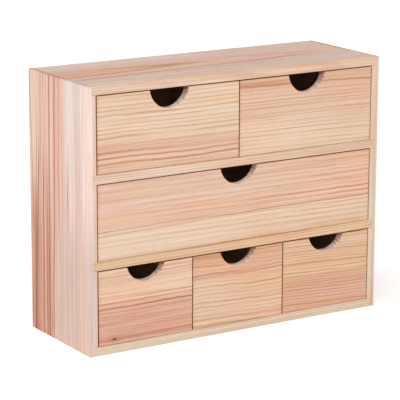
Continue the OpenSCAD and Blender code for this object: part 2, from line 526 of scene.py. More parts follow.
@dataclass
class Board:
    """One board, sawn from a blank and then let in, notched, eased, drilled and finished.

    Attributes:
        node: The node that the board stands for.
        body: The body that it rides on.
        easing: The width of an eased arris, in metres.
        joined: The blocks of the parts that it is joined to.
        brads: The brads that may reach it.
        seats: The blocks of the parts that may reach into it.
        notch: Its finger notch, if it has one.
    """

    node: str
    body: str
    easing: float
    joined: list[Block]
    brads: list[Brad]
    seats: tuple[Block, ...] = ()
    notch: Notch | None = None

    # Faces that turn less than the first angle are one face, more than the second meet in an arris
    FLAT = math.radians(1)
    ARRIS = math.radians(30)
    # Arrises at a glued joint against exposed ones, and the steps round an arris
    JOINT_SHARE = 0.16
    ROUNDING = 3
    # How far off an arris its faces are tried for a board that covers them
    PROBE = 0.15 * MM

    def make(self, finish: "Finish", slot: Slot) -> None:
        """Makes the board and puts it on its body.

        Args:
            finish: What its surface is made of.
            slot: The record's slot that the finish stands for; not used.
        """
        block = Block.of(self.node)
        piece = block_piece(self.node + "_board", block)
        seats = [seat for seat in self.seats if seat.meets(block)]
        cutters = [block_piece("cutter", seat.cutter(block, seats)) for seat in seats]
        if self.notch:
            cutters.append(self.notch.cutter())
        carve(piece, cutters)
        self._ease(piece)
        brads = [brad for brad in self.brads if brad.block.meets(block)]
        if brads:
            carve(piece, [turned("drill", brads, Brad.hole)])
        dress(piece, self.node, finish, self.body)

    def _ease(self, piece: Piece) -> None:
        """Rounds a board's outer corners, more where they are exposed than at its joints.

        Args:
            piece: The board's piece.
        """
        bm = bmesh.new()
        bm.from_mesh(piece.data)
        bmesh.ops.dissolve_limit(bm, angle_limit=self.FLAT, verts=bm.verts, edges=bm.edges)
        weight = bm.edges.layers.float.new("bevel_weight_edge")
        for edge in bm.edges:
            if len(edge.link_faces) == 2 and edge.calc_face_angle_signed() > self.ARRIS:
                edge[weight] = self.JOINT_SHARE if self._is_joint(edge) else 1.0
        bm.to_mesh(piece.data)
        bm.free()
        bevel = piece.modifiers.new("easing", "BEVEL")
        bevel.limit_method = "WEIGHT"
        bevel.width = self.easing
        bevel.segments = self.ROUNDING
        settle(piece)

    def _is_joint(self, edge: bmesh.types.BMEdge) -> bool:
        """Looks for a board that covers one of the two faces beside an edge.

        Args:
            edge: The edge.

        Returns:
            Whether there is one.
        """
        middle = (edge.verts[0].co + edge.verts[1].co) / 2
        first, second = (face.normal for face in edge.link_faces)
        tries = [middle + (first - second) * side * self.PROBE for side in (1, -1)]
        return any(block.holds(point) for block in self.joined for point in tries)


@dataclass(frozen=True)
class Wire:
    """A value in a shader that takes part in arithmetic: an output of a node on a sheet."""

    sheet: "NodeSheet"
    socket: Socket

    @property
    def siblings(self) -> "list[Wire]":
        """Every output of the wire's node."""
        return [Wire(self.sheet, socket) for socket in self.socket.node.outputs]

    def __add__(self, other: "Value") -> "Wire":
        """The sum with another value."""
        return self.sheet.math("ADD", self, other)

    def __sub__(self, other: "Value") -> "Wire":
        """The difference from another value."""
        return self.sheet.math("SUBTRACT", self, other)

    def __rsub__(self, other: float) -> "Wire":
        """What is left of a number."""
        return self.sheet.math("SUBTRACT", other, self)

    def __mul__(self, other: "Value") -> "Wire":
        """The product with another value."""
        return self.sheet.math("MULTIPLY", self, other)

    def __truediv__(self, other: "Value") -> "Wire":
        """The quotient by another value."""
        return self.sheet.math("DIVIDE", self, other)

    def apply(self, operation: str, other: "Value" = 0.0) -> "Wire":
        """The result of one of the math node's other operations."""
        return self.sheet.math(operation, self, other)

    def between(self, low: float, high: float) -> "Wire":
        """A smooth step that goes from 0 at low to 1 at high."""
        ends = {"Value": self, "From Min": low, "From Max": high}
        return self.sheet.add("MapRange", ends, "Result", interpolation_type="SMOOTHSTEP")


Value = float | Wire
# The place on a board along the grain, across it and through it
Point = tuple[Wire, Wire, Wire]
ALONG, ACROSS, THROUGH = range(3)
# A noise's cycles in a metre along the grain, its cycles in a metre across it, and its detail
Weave = tuple[float, float, float]


@dataclass(frozen=True)
class NodeSheet:
    """Lays out the nodes of one shader or node group on its tree."""

    tree: bpy.types.NodeTree

    def feed(self, socket: Socket, value: "Value | Colour") -> None:
        """Links a wire to an input, or sets the input to a number or a colour.

        Args:
            socket: The input.
            value: What it takes.
        """
        if isinstance(value, Wire):
            self.tree.links.new(value.socket, socket)
        elif isinstance(value, tuple) and len(socket.default_value) == 4:
            socket.default_value = (*value, 1.0)
        else:
            socket.default_value = value

    def add(
        self,
        kind: str,
        inputs: "dict[int | str, Value | Colour]",
        output: int | str = 0,
        **settings: object,
    ) -> Wire:
        """Adds a node and feeds it.

        Args:
            kind: The node's type, without the prefix that all types share.
            inputs: What its inputs take, by their places or names.
            output: The place or name of the output that is wanted.
            settings: The node's own properties.

        Returns:
            The output.
        """
        node = self.tree.nodes.new("ShaderNode" + kind)
        for name, value in settings.items():
            setattr(node, name, value)
        for name, value in inputs.items():
            self.feed(node.inputs[name], value)
        return Wire(self, node.outputs[output])

    def math(self, operation: str, first: "Value", second: "Value" = 0.0) -> Wire:
        """Works out one arithmetic step."""
        return self.add("Math", {0: first, 1: second}, operation=operation)

    def vector(self, x: "Value", y: "Value", z: "Value") -> Wire:
        """Joins three values into a vector."""
        return self.add("CombineXYZ", {0: x, 1: y, 2: z})

    def parts(self, vector: Wire) -> Point:
        """Splits a vector into three values."""
        return tuple(self.add("SeparateXYZ", {0: vector}).siblings)

    def noise(self, x: "Value", y: "Value", z: "Value", detail: float) -> Wire:
        """Soft noise between about 0.2 and 0.8 at a point."""
        inputs = {"Vector": self.vector(x, y, z), "Scale": 1.0, "Detail": detail}
        return self.add("TexNoise", inputs)

    def grain(self, point: Point, weave: Weave, shift: "Value" = 0.0) -> Wire:
        """Soft noise that is drawn out along the grain.

        Args:
            point: The place on the board.
            weave: The noise's scales.
            shift: What sets one board's noise apart from another's.

        Returns:
            The noise, between about 0.2 and 0.8.
        """
        (along, across, through), (lengthwise, crosswise, detail) = point, weave
        reach = along * lengthwise + shift if shift else along * lengthwise
        return self.noise(reach, across * crosswise, through * crosswise, detail)

    def chance(self, value: Wire) -> Wire:
        """A fixed random number from 0 to 1 for each value."""
        return self.add("TexWhiteNoise", {"W": value}, "Value", noise_dimensions="1D")

    def ramp(self, value: Wire, tints: "Bands") -> Wire:
        """Looks a colour up along a ramp.

        Args:
            value: The place along the ramp, from 0 to 1.
            tints: The places and their tints, in rising order.

        Returns:
            The colour.
        """
        wire = self.add("ValToRGB", {0: value})
        ramp = wire.socket.node.color_ramp
        ramp.interpolation = "EASE"
        while len(ramp.elements) < len(tints):
            ramp.elements.new(1.0)
        for element, (place, tint) in zip(ramp.elements, tints):
            element.position = place
            element.color = (*tint.linear, 1.0)
        return wire

    def mix(self, share: "Value", first: "Wire | Colour", second: "Wire | Colour") -> Wire:
        """Mixes two colours."""
        return self.add("Mix", {0: share, 6: first, 7: second}, 2, data_type="RGBA")

    def stained(self, colour: "Wire | Colour", stain: Colour, share: "Value") -> Wire:
        """Multiplies a colour by a stain, as far as the share says."""
        inputs = {0: share, 6: colour, 7: stain}
        return self.add("Mix", inputs, 2, data_type="RGBA", blend_type="MULTIPLY")

    def lit(self, colour: "Wire | Colour", gain: Wire) -> Wire:
        """Scales a colour's brightness."""
        return self.add("VectorMath", {0: colour, "Scale": gain}, operation="SCALE")


@dataclass(frozen=True)
class BoardSheet(NodeSheet):
    """The sheet of a board's own material, which knows where the board lies."""

    block: Block

    # How far in from an arris the wood is worn
    WEAR = 3 * MM

    @property
    def sizes(self) -> tuple[float, float, float]:
        """The board's size along the grain, across it and through it."""
        return tuple(self.block.size[axis.value] for axis in self.block.axes)

    @cached_property
    def spot(self) -> Point:
        """The distances of the shaded point from the board's low corner."""
        place = self.parts(self.add("TexCoord", {}, "Object"))
        return tuple(place[axis.value] - self.block.low[axis.value] for axis in self.block.axes)

    @cached_property
    def margins(self) -> Point:
        """How far the shaded point lies in from the board's nearer end, edge and face."""
        halves = [(place, size / 2) for place, size in zip(self.spot, self.sizes)]
        return tuple(half - (place - half).apply("ABSOLUTE") for place, half in halves)

    def facing(self, way: int) -> Wire:
        """How far the surface faces along the grain, across it or through it, from 0 to 1."""
        normal = self.parts(self.add("TexCoord", {}, "Normal"))
        return normal[self.block.axes[way].value].apply("ABSOLUTE")

    def near_arris(self) -> Wire:
        """Measures how near the shaded point is to the board's arrises.

        Returns:
            1 on an arris, down to 0 where the wear ends.
        """
        first, second, third = self.margins
        lesser, greater = first.apply("MINIMUM", second), first.apply("MAXIMUM", second)
        middle = lesser.apply("MAXIMUM", greater.apply("MINIMUM", third))
        return 1.0 - middle.between(0.0, self.WEAR)


@dataclass(frozen=True)
class Surface:
    """What a finish lays down.

    Attributes:
        colour: The base colour.
        roughness: The roughness.
        height: The relief, from 0 to 1.
    """

    colour: Wire
    roughness: Wire
    height: Wire


@dataclass(frozen=True)
class Finish:
    """What a surface is made of."""

    # The shader's metallic and specular levels
    METAL = 0.0
    GLOSS = 0.3
    # How strongly the relief shows, and its depth
    RELIEF = 0.6
    DEPTH = 0.1 * MM

    def material(self, name: str, block: Block) -> bpy.types.Material:
        """Makes the material of one board or group of brads.

        Args:
            name: The node's name.
            block: Where the piece lies.

        Returns:
            The material.
        """
        material = bpy.data.materials.new(name + "_finish")
        material.use_nodes = True
        sheet = BoardSheet(material.node_tree, block)
        shader = material.node_tree.nodes["Principled BSDF"]
        surface = self.lay_out(sheet)
        bump = {"Height": surface.height, "Strength": self.RELIEF, "Distance": self.DEPTH}
        sheet.feed(shader.inputs["Base Color"], surface.colour)
        sheet.feed(shader.inputs["Roughness"], surface.roughness)
        sheet.feed(shader.inputs["Normal"], sheet.add("Bump", bump))
        shader.inputs["Metallic"].default_value = self.METAL
        shader.inputs["Specular IOR Level"].default_value = self.GLOSS
        return material

    def lay_out(self, sheet: BoardSheet) -> Surface:
        """Lays the surface's nodes out. Each kind of finish has its own way."""
        raise NotImplementedError


class NodeGroup:
    """A node group that is built once and shared by every finish that asks for it."""

    NAME: str
    INPUTS: tuple[str, ...]
    OUTPUTS: tuple[str, ...]

    @classmethod
    def tree(cls) -> bpy.types.NodeTree:
        """Builds the group when it is first asked for.

        Returns:
            The group's tree.
        """
        if cls.NAME in bpy.data.node_groups:
            return bpy.data.node_groups[cls.NAME]
        tree = bpy.data.node_groups.new(cls.NAME, "ShaderNodeTree")
        for side, names in (("INPUT", cls.INPUTS), ("OUTPUT", cls.OUTPUTS)):
            for name in names:
                tree.interface.new_socket(name, in_out=side, socket_type="NodeSocketFloat")
        sheet = NodeSheet(tree)
        source, sink = tree.nodes.new("NodeGroupInput"), tree.nodes.new("NodeGroupOutput")
        results = cls.lay_out(sheet, *(Wire(sheet, source.outputs[name]) for name in cls.INPUTS))
        for name, result in zip(cls.OUTPUTS, results):
            sheet.feed(sink.inputs[name], result)
        return tree

    @staticmethod
    def lay_out(sheet: NodeSheet, *inputs: Wire) -> tuple[Wire, ...]:
        """Works the outputs out from the inputs. Each kind of group has its own way."""
        raise NotImplementedError

    @classmethod
    def use(cls, sheet: NodeSheet, *values: "Value") -> dict[str, Wire]:
        """Places the group on a sheet, fed with its inputs' values, and gives its outputs by name."""
        node = sheet.add("Group", dict(zip(cls.INPUTS, values)), node_tree=cls.tree())
        return dict(zip(cls.OUTPUTS, node.siblings))


class GrainFigure(NodeGroup):
    """The figure of sawn softwood.

    Lane is the place across the board with the grain's slope, sag and drift taken in, Late the dark
    summer wood of the year rings, Tear the marks a saw leaves in end grain, and the rest are streaks
    and clouds at other scales.
    """

    NAME = "pine_figure"
    INPUTS = (
        "Along", "Across", "Through", "Seed", "Ring", "Pith Across", "Pith Through", "Taper",
        "Slope", "Sag", "Sag Place", "Tilt", "Wander",
    )
    OUTPUTS = ("Lane", "Late", "Streak", "Fibre", "Pore", "Cloud", "Tear")

    # How far apart two seeds lie in a noise
    SPREAD = 7.31
    # The lanes' slow drift and quick ripple, and the fading of the year rings along them
    DRIFT = (8.0, 13.0, 1.0)
    RIPPLE = (62.0, 70.0, 1.0)
    FADE = (14.0, 120.0, 1.0)
    STREAK = (6.0, 430.0, 3.0)
    FIBRE = (70.0, 2600.0, 2.0)
    PORE = (190.0, 2300.0, 0.0)
    CLOUD = (7.0, 22.0, 3.0)
    # How strong the ripple is against the drift, and how uneven the years' widths are, in years
    RIPPLE_SHARE = 0.38
    UNEVEN = 1.4
    # The steepness of a sag, in a metre
    DIP = 22.0
    # Where the summer wood sets in and ends, in each year from 0 to 1
    SUMMER = (0.55, 0.86)
    WINTER = (0.92, 1.0)

    @staticmethod
    def lay_out(sheet: NodeSheet, *inputs: Wire) -> tuple[Wire, ...]:
        """Works out the figure at a point of the board.

        Args:
            sheet: The group's sheet.
            inputs: The group's inputs.

        Returns:
            The group's outputs.
        """
        along, across, through, seed, ring, pith_across, pith_through, taper = inputs[:8]
        slope, sag, sag_place, tilt, wander = inputs[8:]
        kind, point = GrainFigure, (along, across, through)
        shift = seed * kind.SPREAD
        drift = sheet.grain(point, kind.DRIFT, shift) - 0.5
        ripple = sheet.grain(point, kind.RIPPLE, shift) - 0.5
        dip = (along - sag_place) * kind.DIP
        lane = across + tilt * through - slope * along + (dip * dip * -1.0).apply("EXPONENT") * sag
        lane = lane + (drift + ripple * kind.RIPPLE_SHARE) * wander * 2.0
        side, depth = lane - pith_across, through - pith_through
        years = ((side * side + depth * depth).apply("SQRT") + taper * along) / ring
        years = years + (sheet.noise(years * 0.41, seed, 0.5, 1.0) - 0.5) * kind.UNEVEN
        year = years.apply("FRACT")
        strength = sheet.chance(years.apply("FLOOR") + seed) * 0.5 + 0.5
        late = year.between(*kind.SUMMER) * (1.0 - year.between(*kind.WINTER)) * strength
        fade = sheet.grain(point, kind.FADE, shift).between(0.25, 0.6) * 0.75 + 0.25
        tear = sheet.noise(along * 420.0, across * 420.0, through * 50.0, 1.0)
        return (
            lane,
            late * fade,
            sheet.grain(point, kind.STREAK, shift),
            sheet.grain(point, kind.FIBRE),
            sheet.grain(point, kind.PORE).between(0.68, 0.78),
            sheet.grain(point, kind.CLOUD, shift),
            tear.between(0.5, 0.62),
        )


class StreakLine(NodeGroup):
    """One dark line along the grain, laid over the lines before it."""

    NAME = "pine_streak"
    INPUTS = ("Before", "Lane", "Reach", "Place", "Width", "Lean", "Start", "End", "Depth")
    OUTPUTS = ("Share",)

    # The share of a board's length over which a line fades out at its ends
    FADE = 0.16

    @staticmethod
    def lay_out(sheet: NodeSheet, *inputs: Wire) -> tuple[Wire, ...]:
        """Works out how strong the lines are at a point of the board.

        Args:
            sheet: The group's sheet.
            inputs: The group's inputs.

        Returns:
            The group's output.
        """
        before, lane, reach, place, width, lean, start, end, depth = inputs
        off = (lane - place - lean * (reach - 0.5)) / width
        line = (off * off * -4.0).apply("EXPONENT") * depth
        for past in (reach - start, end - reach):
            line = line * (past / StreakLine.FADE).apply("MAXIMUM", 0.0).apply("MINIMUM", 1.0)
        return (1.0 - (1.0 - before) * (1.0 - line),)


@dataclass(frozen=True)
class Streak:
    """A dark line along the grain.

    Attributes:
        place: Where it lies across the board, from 0 to 1.
        width: Its width, in millimetres.
        depth: How dark it is, from 0 to 1.
        start: Where it begins along the board, from 0 to 1.
        end: Where it ends along the board, from 0 to 1.
        lean: How far it goes sideways from one end of the board to the other, in millimetres.
    """

    place: float
    width: float
    depth: float
    start: float = -1.0
    end: float = 2.0
    lean: float = 0.0


@dataclass(frozen=True)
class Knot:
    """A small knot, by its place along and across the board and its radius, in millimetres."""

    along: float
    across: float
    radius: float

    # How much longer than wide a knot's mark is
    STRETCH = 2.6
    # Where its dark core, its brown surround and the bend of the grain round it fade, in its radii
    CORE = (0.5, 1.0)
    HALO = (0.7, 2.2)
    BEND = (0.0, 4.5)

    def reach(self, point: Point) -> Wire:
        """Measures the distance from the knot.

        Args:
            point: The place on the board.

        Returns:
            The distance, in the knot's radii.
        """
        along = (point[0] - self.along * MM) / (self.radius * MM * self.STRETCH)
        across = (point[1] - self.across * MM) / (self.radius * MM)
        return (along * along + across * across).apply("SQRT")


# Tints by their place across a board, from 0 to 1
Bands = tuple[tuple[float, Tint], ...]


@dataclass(frozen=True)
class PineFinish(Finish):
    """Bare sanded pine.

    Attributes:
        bands: Heartwood and sapwood colours, by their place across the board from 0 to 1.
        far_bands: What the bands turn into towards the far end, or none if they stay the same.
        streaks: Dark lines that stand out from the year rings.
        seed: The number that sets one board's grain apart from another's.
        ring: The spacing of the year rings, in millimetres.
        pith: Where the tree's pith lies, across and through from the low corner, in millimetres.
        late: How dark the summer wood is, from 0 to 1.
        late_rise: How much darker it is at the far end than at the near one.
        wander: How far the grain drifts sideways, in millimetres.
        taper: How fast the year rings run out along the board, in millimetres a metre.
        slope: How far the grain climbs across the board, in millimetres a metre.
        sag: How far the grain dips, in millimetres, and where along the board, from 0 to 1.
        tilt: How far the grain moves across the board for its thickness, as a share of it.
        feather: How far the bands fray into each other, in millimetres.
        grit: How strongly fine streaks lighten and darken the wood.
        knots: The board's knots.
        streak_stain: What the dark lines multiply the wood's colour by.
        seam_shade: Painted shade that sawn edges multiply it by, darkening seams, or None for clean edges.
    """

    bands: Bands
    far_bands: Bands = ()
    streaks: tuple[Streak, ...] = ()
    seed: float = 0.0
    ring: float = 4.5
    pith: tuple[float, float] = (-140.0, 60.0)
    late: float = 0.5
    late_rise: float = 0.0
    wander: float = 2.0
    taper: float = 6.0
    slope: float = 0.0
    sag: tuple[float, float] = (0.0, 0.0)
    tilt: float = 0.0
    feather: float = 4.0
    grit: float = 0.3
    knots: tuple[Knot, ...] = ()
    streak_stain: Colour = (0.55, 0.31, 0.21)
    seam_shade: Colour | None = None

    # How light the wood is against its tints, which are given as they look in the studio
    LIGHTNESS = 0.87
    # What summer wood, soft flushes, pores, board ends with partly painted seam shade, the darker
    # upper ends of a notch, torn fibres and worn arrises multiply the colour by
    LATE_STAIN = (0.64, 0.46, 0.30)
    FLUSH_STAIN = (0.99, 0.90, 0.88)
    PORE_STAIN = (0.55, 0.40, 0.30)
    # Duller end grain, partly painted shade for the seams between the fronts
    END_GRAIN_AND_SEAM_SHADE = (0.84, 0.76, 0.69)
    NOTCH_TOP_DARKENING = (0.62, 0.47, 0.38)
    TEAR_STAIN = (0.36, 0.24, 0.19)
    ARRIS_STAIN = (0.86, 0.80, 0.76)
    # Where the far bands take over along the board, from 0 to 1
    FAR = (0.25, 0.8)
    # How far a surface faces through the board on a face, and along the grain on an end and where a
    # notch darkens towards its upper ends
    FACE_ON = (0.3, 0.7)
    END_ON = (0.45, 0.9)
    NOTCH_TOP_ON = (0.6, 1.0)
    # How far the wood pales where a notch is sawn, partly pale sawn wood and partly a painted
    # highlight on its lit wall, and how far in from the arrises a notch begins
    SAWN_PALENESS_AND_HIGHLIGHT = 0.8
    INSIDE = (0.7 * MM, 1.6 * MM)
    DEPTH = 0.12 * MM

    def lay_out(self, sheet: BoardSheet) -> Surface:
        """Lays out pine.

        Args:
            sheet: The board's sheet.

        Returns:
            The surface.
        """
        (along, _, _), (length, width, _) = sheet.spot, sheet.sizes
        figure = self._figure(sheet)
        cloud, streak, fibre = figure["Cloud"], figure["Streak"], figure["Fibre"]
        reach = along / length
        # The bands, frayed, and lighter and darker by turns
        blur = ((streak - 0.5) * 4.0 + (cloud - 0.5) * 2.0) * (self.feather * MM)
        place = (figure["Lane"] + blur) / width
        colour = sheet.ramp(place, self.bands)
        if self.far_bands:
            turn = (reach + (cloud - 0.5)).between(*self.FAR)
            colour = sheet.mix(turn, colour, sheet.ramp(place, self.far_bands))
        gain = (streak - 0.5) * self.grit + (cloud - 0.5) * 0.14
        colour = sheet.lit(colour, gain + self.LIGHTNESS)
        colour = sheet.stained(colour, self.FLUSH_STAIN, (cloud * 2.0 - streak).between(0.4, 0.75))
        # What the saw leaves: pale in a notch, partly a painted highlight, and darker at its upper ends;
        # dull at the board's ends, partly painted seam shade, and painted seam shade on the edges
        inner = sheet.margins[ALONG].between(*self.INSIDE) * sheet.margins[ACROSS].between(*self.INSIDE)
        rim = 1.0 - sheet.facing(THROUGH).between(*self.FACE_ON)
        cut = sheet.facing(ALONG).between(*self.END_ON)
        notch_top = sheet.facing(ALONG).between(*self.NOTCH_TOP_ON)
        # Pale sawn wood inside the notch, partly a painted highlight on its lit wall
        colour = sheet.mix(rim * inner * self.SAWN_PALENESS_AND_HIGHLIGHT, colour, Tint.IVORY.linear)
        # Darker towards the notch's upper ends, where the rim faces along the grain
        colour = sheet.stained(colour, self.NOTCH_TOP_DARKENING, notch_top * inner * (cloud + 0.3))
        colour = sheet.stained(colour, self.TEAR_STAIN, cut * inner * figure["Tear"] * 0.85)
        # Duller end grain at the board's ends, partly painted shade in the seams between the fronts
        colour = sheet.stained(colour, self.END_GRAIN_AND_SEAM_SHADE, cut * (1.0 - inner))
        # Painted shade on the edges, which darkens the seams between the fronts
        if self.seam_shade:
            colour = sheet.stained(colour, self.seam_shade, rim * (1.0 - inner))
        # The lines of the grain
        late = figure["Late"] * (reach * self.late_rise + self.late)
        colour = sheet.stained(colour, self.LATE_STAIN, late)
        if self.streaks:
            colour = sheet.stained(colour, self.streak_stain, self._streaked(sheet, figure))
        colour = sheet.lit(colour, fibre * 0.16 + 0.92)
        colour = sheet.stained(colour, self.PORE_STAIN, figure["Pore"] * 0.35)
        for knot in self.knots:
            near = knot.reach(sheet.spot)
            colour = sheet.mix((1.0 - near.between(*knot.HALO)) * 0.4, colour, Tint.BARK.linear)
            colour = sheet.mix((1.0 - near.between(*knot.CORE)) * 0.9, colour, Tint.KNOT.linear)
        wear = sheet.near_arris() * cloud.between(0.4, 0.62)
        colour = sheet.stained(colour, self.ARRIS_STAIN, wear * 0.6)
        roughness = 0.66 - late * 0.12 + cut * 0.14 + fibre * 0.1
        return Surface(colour, roughness, fibre * 0.5 + streak * 0.3 + late * 0.5)

    def _figure(self, sheet: BoardSheet) -> dict[str, Wire]:
        """Places the shared figure on the sheet, bent round the knots.

        Args:
            sheet: The board's sheet.

        Returns:
            The figure's outputs by name.
        """
        along, across, through = sheet.spot
        for knot in self.knots:
            push = (1.0 - knot.reach(sheet.spot).between(*knot.BEND)) * 0.75
            across = across - (sheet.spot[ACROSS] - knot.across * MM) * push
        sag, sag_place = self.sag
        return GrainFigure.use(
            sheet, along, across, through, self.seed, self.ring * MM, self.pith[0] * MM,
            self.pith[1] * MM, self.taper * MM, self.slope * MM, sag * MM,
            sag_place * sheet.sizes[ALONG], self.tilt, self.wander * MM,
        )

    def _streaked(self, sheet: BoardSheet, figure: dict[str, Wire]) -> Wire:
        """Lays the dark streaks over each other.

        Args:
            sheet: The board's sheet.
            figure: The figure's outputs.

        Returns:
            How strong they are, from 0 to 1.
        """
        length, width, _ = sheet.sizes
        reach, share = sheet.spot[ALONG] / length, 0.0
        for streak in self.streaks:
            share = StreakLine.use(
                sheet, share, figure["Lane"], reach, streak.place * width, streak.width * MM,
                streak.lean * MM, streak.start, streak.end, streak.depth,
            )["Share"]
        return share * (figure["Cloud"] * 0.8 + 0.5) * (figure["Fibre"] * 0.4 + 0.8)


@dataclass(frozen=True)
class PlywoodFinish(Finish):
    """Thin three-ply board, with its plies showing at the edges.

    Attributes:
        face: The colour of the outer plies.
        core: The colour of the inner ply, whose grain runs across.
        seed: The number that sets one panel's veneer apart from another's.
    """

    face: Tint = Tint.HONEY
    core: Tint = Tint.OAT
    seed: float = 0.0

    GLUE_STAIN = (0.55, 0.42, 0.34)
    FIGURE_STAIN = (0.80, 0.68, 0.56)
    # How far apart two seeds lie in a noise
    SPREAD = 5.17
    PLIES = 3.0
    FIBRE = (60.0, 2400.0, 2.0)
    STREAK = (9.0, 300.0, 3.0)

    def lay_out(self, sheet: BoardSheet) -> Surface:
        """Lays out plywood.

        Args:
            sheet: The panel's sheet.

        Returns:
            The surface.
        """
        along, across, through = sheet.spot
        shift = self.seed * self.SPREAD + 3.0
        swell = sheet.noise(along * 3.6 + shift, across * 13.0 + shift, 0.5, 2.0)
        rings = ((swell * 8.0 + across * 26.0).apply("FRACT") - 0.5).apply("ABSOLUTE") * 2.0
        fibre = sheet.grain(sheet.spot, self.FIBRE)
        streak = sheet.grain(sheet.spot, self.STREAK, shift)
        face = sheet.stained(self.face.linear, self.FIGURE_STAIN, rings.between(0.35, 1.0) * 0.34)
        crossed = sheet.grain((across, along, through), self.FIBRE)
        core = sheet.lit(self.core.linear, crossed * 0.4 + 0.7)
        # The place in the three plies, and the glue lines between them
        ply = through / sheet.sizes[THROUGH] * self.PLIES
        inner = ply.between(0.95, 1.05) * (1.0 - ply.between(1.95, 2.05))
        edge = 1.0 - sheet.facing(THROUGH).between(0.5, 0.9)
        glue = 1.0 - ((ply - 1.5).apply("ABSOLUTE") - 0.5).apply("ABSOLUTE").between(0.03, 0.12)
        colour = sheet.mix(inner * edge, face, core)
        colour = sheet.stained(colour, self.GLUE_STAIN, glue * edge * 0.7)
        colour = sheet.lit(colour, streak * 0.14 + fibre * 0.12 + 0.87)
        wear = sheet.near_arris() * swell.between(0.4, 0.6)
        colour = sheet.stained(colour, self.FIGURE_STAIN, wear * 0.5)
        return Surface(colour, fibre * 0.16 + 0.62, fibre * 0.7 + streak * 0.3)


@dataclass(frozen=True)
class SteelFinish(Finish):
    """Bright wire, drawn and cropped.

    Attributes:
        tone: The metal's linear colour.
        film: The linear colour of the oily film on it.
    """

    tone: Colour = (0.46, 0.45, 0.43)
    film: Colour = (0.30, 0.27, 0.24)

    METAL = 1.0
    GLOSS = 0.5
    DEPTH = 0.03 * MM
    GRIT = (2600.0, 2600.0, 3.0)
    SMEAR = (500.0, 500.0, 2.0)

    def lay_out(self, sheet: BoardSheet) -> Surface:
        """Lays out steel.

        Args:
            sheet: The brads' sheet.

        Returns:
            The surface.
        """
        grit = sheet.grain(sheet.spot, self.GRIT)
        smear = sheet.grain(sheet.spot, self.SMEAR)
        colour = sheet.mix(smear.between(0.35, 0.7), self.tone, self.film)
        return Surface(sheet.lit(colour, grit * 0.3 + 0.85), grit * 0.25 + 0.25, grit)


PLAIN = ((0.0, Tint.CREAM), (0.45, Tint.STRAW), (1.0, Tint.CREAM))
PINK_CORE = ((0.0, Tint.CREAM), (0.35, Tint.BLUSH), (0.7, Tint.SALMON), (1.0, Tint.BLUSH))

# The bands at the foot are darker and redder than the far bands towards the top: partly the board's own
# colour, partly painted shade for the light falling off towards the base
LEFT_SIDE = PineFinish(
    bands=(
        (0.0, Tint.PEARL), (0.12, Tint.HUSK), (0.3, Tint.DUSK), (0.57, Tint.DUSK),
        (0.61, Tint.ROSE), (0.70, Tint.CLAY), (0.76, Tint.ROSE), (0.82, Tint.CLAY),
        (0.90, Tint.RUST), (0.94, Tint.CLAY), (1.0, Tint.ROSE),
    ),
    far_bands=(
        (0.0, Tint.IVORY), (0.03, Tint.IVORY), (0.07, Tint.CREAM), (0.10, Tint.IVORY),
        (0.16, Tint.PEARL), (0.22, Tint.SHELL), (0.3, Tint.IVORY),
        (0.37, Tint.SHELL), (0.42, Tint.BLUSH), (0.5, Tint.CORAL), (0.64, Tint.BLUSH),
        (0.8, Tint.CORAL), (0.9, Tint.BLUSH), (1.0, Tint.PEARL),
    ),
    streaks=(
        Streak(0.20, 3.2, 0.20, start=-0.1, end=0.95, lean=-2.0),
        Streak(0.355, 1.8, 0.75, start=0.4, end=0.72, lean=-6.0),
        Streak(0.43, 1.6, 0.45, start=0.42, end=0.92),
        Streak(0.50, 1.7, 0.50, start=0.4, lean=-4.0),
        Streak(0.58, 2.1, 0.85, start=-0.1, lean=-7.0),
        Streak(0.62, 1.6, 0.70, start=-0.1, end=0.22, lean=-3.0),
        Streak(0.66, 2.4, 0.95, lean=-4.0),
        Streak(0.70, 3.6, 0.55, end=0.75, lean=-3.0),
        Streak(0.735, 1.4, 0.35, start=0.5, lean=5.0),
        Streak(0.765, 2.2, 1.0, end=0.76, lean=-3.0),
        Streak(0.82, 1.5, 0.40, start=0.5, lean=-5.0),
        Streak(0.865, 2.6, 0.85, end=0.8, lean=-14.0),
        Streak(0.90, 1.6, 0.60, start=0.1, end=0.9, lean=-10.0),
        Streak(0.93, 4.0, 0.65, start=-0.1, end=0.25, lean=-14.0),
        Streak(0.95, 1.8, 0.50, start=0.3, lean=10.0),
    ),
    seed=1.0, ring=6.0, pith=(-60.0, -50.0), late=0.25, late_rise=-0.1, taper=10.0, tilt=1.0,
    feather=2.6, grit=0.5, streak_stain=(0.38, 0.20, 0.14),
)
RIGHT_SIDE = PineFinish(
    bands=(
        (0.0, Tint.FLAX), (0.03, Tint.FLAX), (0.05, Tint.APRICOT), (0.055, Tint.HUSK),
        (0.075, Tint.OAT), (0.2, Tint.STRAW), (0.4, Tint.BLUSH), (0.55, Tint.SALMON),
        (0.7, Tint.ROSE), (0.82, Tint.SALMON), (1.0, Tint.PEACH),
    ),
    far_bands=(
        (0.0, Tint.STRAW), (0.03, Tint.FAWN), (0.055, Tint.FAWN), (0.06, Tint.OAT),
        (0.075, Tint.OAT), (0.2, Tint.CREAM), (0.5, Tint.SAND), (0.62, Tint.PEACH),
        (0.8, Tint.SALMON), (1.0, Tint.FAWN),
    ),
    streaks=(
        Streak(0.30, 1.4, 0.35, start=0.2, lean=3.0), Streak(0.44, 1.6, 0.6, start=0.3),
        Streak(0.52, 1.5, 0.5, end=0.8), Streak(0.58, 1.4, 0.4, start=0.5, lean=4.0),
        Streak(0.63, 1.8, 0.8), Streak(0.69, 1.6, 0.6, end=0.7), Streak(0.74, 4.0, 0.35, end=0.6),
        Streak(0.81, 1.8, 0.7, lean=-6.0), Streak(0.9, 3.0, 0.4, start=0.4, lean=-9.0),
    ),
    seed=2.0, ring=5.4, pith=(-60.0, 70.0), late=0.4, taper=16.0, tilt=1.0, feather=1.6,
    grit=0.45, streak_stain=(0.44, 0.25, 0.17),
)
